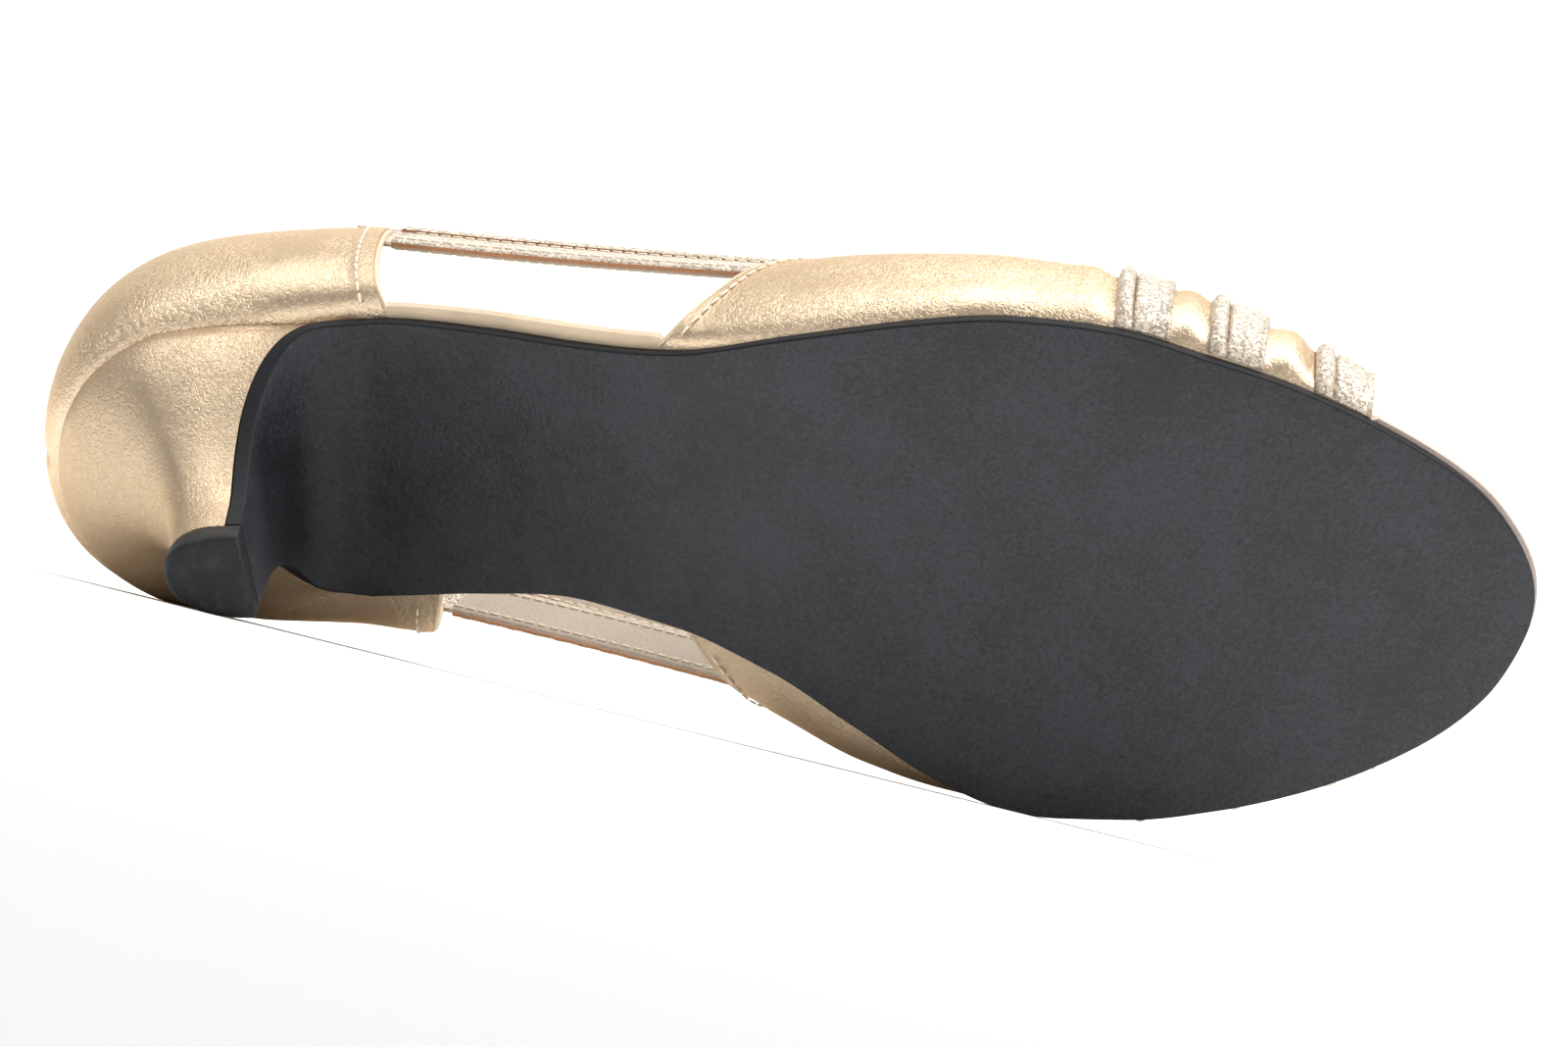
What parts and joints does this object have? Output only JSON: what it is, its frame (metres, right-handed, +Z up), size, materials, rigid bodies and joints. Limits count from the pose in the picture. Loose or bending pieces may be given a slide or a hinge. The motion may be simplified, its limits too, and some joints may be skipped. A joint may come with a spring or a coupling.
{
  "type": "open-toe dress sandal",
  "caption": "Right open-toe dress sandal on a flared kitten heel, closed heel counter, strapped open waist and three raised toe bands, lying on its side.",
  "frame": {"origin": "on the surface that the shoe lies on, under the middle of its box", "axes": "+X towards the toe, -Y the way the sole faces, +Z up, with the shoe on its medial side"},
  "size_m": [0.2524, 0.116, 0.0899],
  "materials": {
    "sole": "satin black, fine leather grain",
    "top_lift": "matte black",
    "leather": "metallic champagne gold, fine grain",
    "glitter": "fine silver-gold glitter",
    "insole": "matte lining with a gold wrapped edge"
  },
  "bodies": {
    "root": {"outsole": "sole", "top_lift": "top_lift", "heel": "leather", "insole": "insole", "upper": "leather", "toe_band_1": "glitter", "toe_band_2": "glitter", "toe_band_3": "glitter"}
  },
  "joints": []
}
